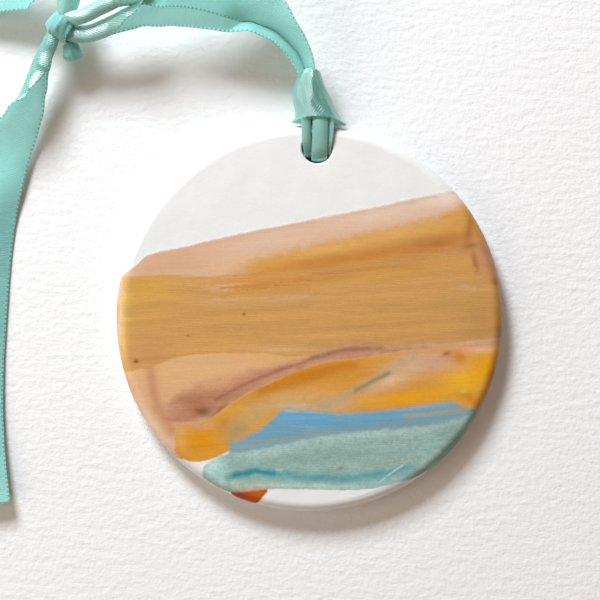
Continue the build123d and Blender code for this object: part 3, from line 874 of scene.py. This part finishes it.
def patch_weight(x, y, centre_x, centre_y, long_radius, short_radius, turn):
    """A round-topped spot: e to the minus squared distance in radii, turned with the patch."""
    cos, sin = math.cos(math.radians(turn)), math.sin(math.radians(turn))
    along = ((x - centre_x) * cos + (y - centre_y) * sin) / long_radius
    aside = ((y - centre_y) * cos - (x - centre_x) * sin) / short_radius
    return np.exp(-along ** 2 - aside ** 2)


def line_weight(x, y, points, width):
    """A brushed line: e to the minus squared distance from the nearest of its runs, in half-widths."""
    nearest = np.full(x.shape, 1e9)
    for (x0, y0), (x1, y1) in zip(points, points[1:]):
        run_x, run_y = x1 - x0, y1 - y0
        part = np.clip(((x - x0) * run_x + (y - y0) * run_y) / (run_x ** 2 + run_y ** 2), 0.0, 1.0)
        nearest = np.minimum(nearest, (x - x0 - part * run_x) ** 2 + (y - y0 - part * run_y) ** 2)
    return np.exp(-nearest / (width / 2) ** 2)


# The brush strokes rise by 1 over this run
STROKE_RUN = 9


def coat_cover(x, y, coat, seed):
    """How far a coat covers each point, from 0 to 1, and its brush streaks from 0 to 1.

    Streaks are grain up to 14 mm long and about 0.3 mm wide, along a line that rises 1 in 9.
    Where the brush is dry, only the higher streaks are left.
    """
    leaning = y - x / STROKE_RUN
    streaks = (0.5 * grain(x, leaning, 14.0, 0.34, seed) + 0.3 * grain(x, leaning, 5.0, 0.2, seed + 1)
               + 0.2 * grain(x, y, 0.5, 0.4, seed + 2))
    ragged = ((grain(x, y, 0.9, 0.9, seed + 3) - 0.5) * 0.35
              + (grain(x, y, 0.3, 0.3, seed + 4) - 0.5) * 0.2)
    soft_up, soft_down = coat["soft"]
    upper = eased_line(coat["upper"], x) + ragged * soft_up
    lower = eased_line(coat["lower"], x) - ragged * soft_down
    left, right, soft_end = coat["ends"]
    cover = ramp(upper - y, -soft_up / 2, soft_up / 2) * ramp(y - lower, -soft_down / 2, soft_down / 2)
    cover = cover * ramp(x - left + ragged, 0, soft_end) * ramp(right - x + ragged, 0, soft_end)
    dryness = np.zeros_like(x)
    for *spot, strength in coat.get("dry", ()):
        dryness = np.maximum(dryness, strength * patch_weight(x, y, *spot))
    broken = ramp(streaks, 0.42, 0.60)
    return cover * (1 - dryness * (1 - broken)), streaks


def tinted(tone, hex_colour, weight):
    """The tone plus weight, kept within 0 and 1, times the way from it to the colour."""
    return tone + (np.array(linear(hex_colour)[:3]) - tone) * np.clip(weight, 0, 1)[..., None]


# The height of a coat, and how far its streaks rise over that, in millimetres. Where a coat covers
# more than COAT_SHOWS, it is the topmost one.
COAT_HEIGHT, STREAK_HEIGHT = 0.010, 0.016
COAT_SHOWS = 0.03


def painted_face(x, y, clay):
    """Linear colour, film height in mm and topmost coat (or -1) at each point of the face.

    The coats are laid one over another. Each coat's tone is its main colour, moved towards its
    patches' and lines' colours by their weights, then shaded by its streaks, by broad bands
    18 mm long and 1.2 mm wide, and by fine mottle. The film is as high as its cover times its
    own height, or half of what lies under it where that is more.
    """
    colour = np.broadcast_to(np.array(clay), (*x.shape, 3)).copy()
    height, owner = np.zeros_like(x), np.full(x.shape, -1)
    for place, (name, coat) in enumerate(COATS.items()):
        seed = 100 * place + 7
        cover, streaks = coat_cover(x, y, coat, seed)
        main = linear(getattr(bpy.context.scene.ornament_paint, name))[:3]
        tone = np.broadcast_to(np.array(main), (*x.shape, 3))
        blotches = 0.8 + 0.4 * grain(x, y, 1.6, 1.0, seed + 9)
        for *spot, hex_colour, strength in coat["patches"]:
            tone = tinted(tone, hex_colour, strength * patch_weight(x, y, *spot) * blotches)
        wander = (grain(x, y, 1.5, 1.5, seed + 11) - 0.5) * 0.5
        for points, width, hex_colour, strength in coat.get("lines", ()):
            weight = strength * line_weight(x + wander, y + wander, points, width)
            tone = tinted(tone, hex_colour, weight * (0.6 + 0.4 * streaks))
        mottle = 0.6 * grain(x, y, 0.28, 0.28, seed + 12) + 0.4 * grain(x, y, 1.3, 0.9, seed + 13) - 0.5
        bands = grain(x, y - x / STROKE_RUN, 18.0, 1.2, seed + 14)
        shade = (1 + coat["streak"] * ((streaks - 0.5) * 2.2 + (bands - 0.5) * 1.8)
                 + coat["grit"] * mottle * 1.6)
        tone = tone * shade[..., None]
        colour += (tone - colour) * cover[..., None]
        laid = cover * (COAT_HEIGHT + STREAK_HEIGHT * streaks)
        height = np.maximum(height * (1 - 0.5 * cover), laid)
        owner = np.where(cover > COAT_SHOWS, place, owner)
    return colour, height, owner


# The film's top over the clay where no paint adds to it, its underside below the clay's surface,
# and how far short of the disc's side it stops, in millimetres
FILM_BASE, FILM_SUNK, FILM_GAP = 0.015, 0.06, 0.1


def coat_shell(x, y, height, chosen, values):
    """Points and quads of a closed film over the chosen cells of the face grid.

    The grid is flat out to where the rim starts to round, and then wraps round the
    rim: at distance s from the centre the turn is t = (s - flat) / rim, the radius is
    flat + rim sin t and the height is thickness - rim + rim cos t. The top lies at the
    film's height over that, and the underside a little inside the clay.
    """
    flat = (values.radius - values.rim) / MM
    rim, thick = values.rim / MM, values.thickness / MM
    used = np.zeros(x.shape, dtype=bool)
    i, j = np.nonzero(chosen)
    corners = ((0, 0), (1, 0), (1, 1), (0, 1))
    for di, dj in corners:
        used[i + di, j + dj] = True
    number = np.cumsum(used.ravel()).reshape(x.shape) - 1
    count = int(used.sum())
    top_faces = np.stack([number[i + di, j + dj] for di, dj in corners], axis=-1)

    def laid(lift):
        s = np.hypot(x[used], y[used])
        turn = np.maximum(s - flat, 0) / rim
        radius = np.minimum(s, flat) + (rim + lift) * np.sin(turn)
        scale = radius / np.maximum(s, 1e-9)
        z = thick - rim + (rim + lift) * np.cos(turn)
        return np.stack((x[used] * scale, y[used] * scale, z), axis=-1)

    edges = np.concatenate([top_faces[:, (k, (k + 1) % 4)] for k in range(4)])
    _, first, times = np.unique(np.sort(edges, axis=1), axis=0, return_index=True, return_counts=True)
    rim_edges = edges[first[times == 1]]
    rim_points, spot = np.unique(rim_edges, return_inverse=True)
    spot = spot.reshape(rim_edges.shape) + 2 * count
    # The walls have points of their own, so that the top's shading stays level up to its edge
    above, below = spot, spot + len(rim_points)
    walls = np.stack((above[:, 1], above[:, 0], below[:, 0], below[:, 1]), axis=-1)
    top, under = laid(height[used]), laid(np.full(count, -FILM_SUNK))
    points = np.concatenate((top, under, top[rim_points], under[rim_points]))
    faces = np.concatenate((top_faces, top_faces[:, ::-1] + count, walls))
    source = np.concatenate((np.arange(count), np.arange(count), rim_points, rim_points))
    return points, faces, np.flatnonzero(used)[source]


def underglaze_material(name, roughness, drag, relief):
    """Underglaze colour brushed on clay and fired: a dry, low satin surface.

    The film's attribute "paint" holds its colour. Bristle drags about 0.22 mm wide and 9 mm
    long vary the colour and catch the light, and grains about 0.3 mm wide roughen it.
    """
    material, tree, output = new_material(name)
    film = add_node(tree, "ShaderNodeAttribute", {"attribute_name": "paint"})
    where = add_node(tree, "ShaderNodeTexCoord").outputs["Object"]
    dragged = add_node(tree, "ShaderNodeMapping", inputs={
        "Vector": where, "Rotation": (0.0, 0.0, math.radians(-6.3)),
        "Scale": (1 / 0.009, 1 / 0.00022, 1.0)})
    bristles = add_node(tree, "ShaderNodeTexNoise", inputs={
        "Vector": dragged.outputs["Vector"], "Scale": 1.0, "Detail": 2.0})
    grains = add_node(tree, "ShaderNodeTexNoise", inputs={
        "Vector": where, "Scale": 1 / 0.0003, "Detail": 3.0, "Roughness": 0.6})
    streak_shade = add_node(tree, "ShaderNodeMapRange", inputs={
        "Value": bristles.outputs["Fac"], "From Min": 0.3, "From Max": 0.7,
        "To Min": 1 - drag, "To Max": 1 + drag})
    grain_shade = add_node(tree, "ShaderNodeMapRange", inputs={
        "Value": grains.outputs["Fac"], "From Min": 0.3, "From Max": 0.7, "To Min": 0.95, "To Max": 1.05})
    shade = add_node(tree, "ShaderNodeMath", {"operation": "MULTIPLY"}, {
        0: streak_shade.outputs[0], 1: grain_shade.outputs[0]})
    colour = add_node(tree, "ShaderNodeVectorMath", {"operation": "SCALE"}, {
        0: film.outputs["Color"], "Scale": shade.outputs[0]})
    height = add_node(tree, "ShaderNodeMath", {"operation": "MULTIPLY_ADD"}, {
        0: bristles.outputs["Fac"], 1: 1.5, 2: grains.outputs["Fac"]})
    bump = add_node(tree, "ShaderNodeBump", inputs={
        "Height": height.outputs[0], "Strength": relief, "Distance": 0.00005})
    surface = add_node(tree, "ShaderNodeBsdfPrincipled", inputs={
        "Base Color": colour.outputs[0], "Roughness": roughness, "Specular IOR Level": 0.35,
        "Normal": bump.outputs["Normal"]})
    tree.links.new(surface.outputs["BSDF"], output.inputs["Surface"])
    return material


def bisque_material(colour):
    """Pressed white clay, fired and rubbed smooth: an eggshell white with faint cloudy tone."""
    material, tree, output = new_material("white_clay_fired_rubbed")
    where = add_node(tree, "ShaderNodeTexCoord").outputs["Object"]
    clouds = add_node(tree, "ShaderNodeTexNoise", inputs={
        "Vector": where, "Scale": 1 / 0.006, "Detail": 5.0, "Roughness": 0.6})
    grains = add_node(tree, "ShaderNodeTexNoise", inputs={
        "Vector": where, "Scale": 1 / 0.0005, "Detail": 3.0})
    tone = add_node(tree, "ShaderNodeMapRange", inputs={
        "Value": clouds.outputs["Fac"], "From Min": 0.35, "From Max": 0.65, "To Min": 0.97, "To Max": 1.02})
    base = add_node(tree, "ShaderNodeVectorMath", {"operation": "SCALE"}, {
        0: linear(colour)[:3], "Scale": tone.outputs[0]})
    height = add_node(tree, "ShaderNodeMath", {"operation": "MULTIPLY_ADD"}, {
        0: clouds.outputs["Fac"], 1: 4.0, 2: grains.outputs["Fac"]})
    bump = add_node(tree, "ShaderNodeBump", inputs={
        "Height": height.outputs[0], "Strength": 0.35, "Distance": 0.00006})
    surface = add_node(tree, "ShaderNodeBsdfPrincipled", inputs={
        "Base Color": base.outputs[0], "Roughness": 0.42, "Specular IOR Level": 0.5,
        "Coat Weight": 0.15, "Coat Roughness": 0.25, "Normal": bump.outputs["Normal"]})
    tree.links.new(surface.outputs["BSDF"], output.inputs["Surface"])
    return material


class ORNAMENT_OT_paint(bpy.types.Operator):
    """Give the disc its clay and lay the painted coats over its face"""
    bl_idname = "ornament.paint"
    bl_label = "Painted coats"

    def execute(self, context):
        values = context.scene.ornament_disc
        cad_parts["disc"].material_slots[0].material = bisque_material(values.clay)
        reach = (values.radius - values.rim + values.rim * math.pi / 2) / MM - FILM_GAP
        cell = values.cell / MM
        lines = np.arange(-reach, reach, cell)
        x, y = np.meshgrid(lines, lines, indexing="ij")
        colour, height, owner = painted_face(x, y, linear(values.clay)[:3])
        middle = np.hypot(x[:-1, :-1] + cell / 2, y[:-1, :-1] + cell / 2)
        for place, name in enumerate(COATS):
            chosen = (owner[:-1, :-1] == place) & (middle < reach)
            points, faces, source = coat_shell(x, y, height + FILM_BASE, chosen, values)
            material = underglaze_material("underglaze_brushed_" + name, *COATS[name]["finish"])
            piece = mesh_piece("painted_" + name, points, faces, [material])
            film = piece.data.color_attributes.new("paint", "FLOAT_COLOR", "POINT")
            tones = np.concatenate((colour.reshape(-1, 3)[source], np.ones((len(source), 1))), axis=1)
            film.data.foreach_set("color", tones.astype(np.float32).ravel())
            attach(piece, "ornament")
            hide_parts(name)
        return {"FINISHED"}


# --------------------------------------------------------------- add-on


class ORNAMENT_PT_panel(bpy.types.Panel):
    """The ornament's pieces and values"""
    bl_label = "Ornament"
    bl_idname = "ORNAMENT_PT_panel"
    bl_space_type = "VIEW_3D"
    bl_region_type = "UI"
    bl_category = "Ornament"

    def draw(self, context):
        layout = self.layout
        for operator in PIECE_OPERATORS:
            layout.operator(operator.bl_idname)


VALUES = {
    "ornament_stage": StageProps, "ornament_ribbon": RibbonProps,
    "ornament_disc": DiscProps, "ornament_paint": PaintProps,
}
PIECE_OPERATORS = (
    ORNAMENT_OT_stage, ORNAMENT_OT_ribbon, ORNAMENT_OT_hitch, ORNAMENT_OT_knot, ORNAMENT_OT_paint)
CLASSES = (*VALUES.values(), *PIECE_OPERATORS, ORNAMENT_PT_panel)


def register():
    for cls in CLASSES:
        bpy.utils.register_class(cls)
    for name, group in VALUES.items():
        setattr(bpy.types.Scene, name, bpy.props.PointerProperty(type=group))


def unregister():
    for name in VALUES:
        delattr(bpy.types.Scene, name)
    for cls in reversed(CLASSES):
        bpy.utils.unregister_class(cls)


def main():
    register()
    bpy.ops.ornament.stage()
    bpy.ops.ornament.ribbon()
    bpy.ops.ornament.hitch()
    bpy.ops.ornament.knot()
    bpy.ops.ornament.paint()
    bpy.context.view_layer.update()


if __name__ == "__main__":
    main()
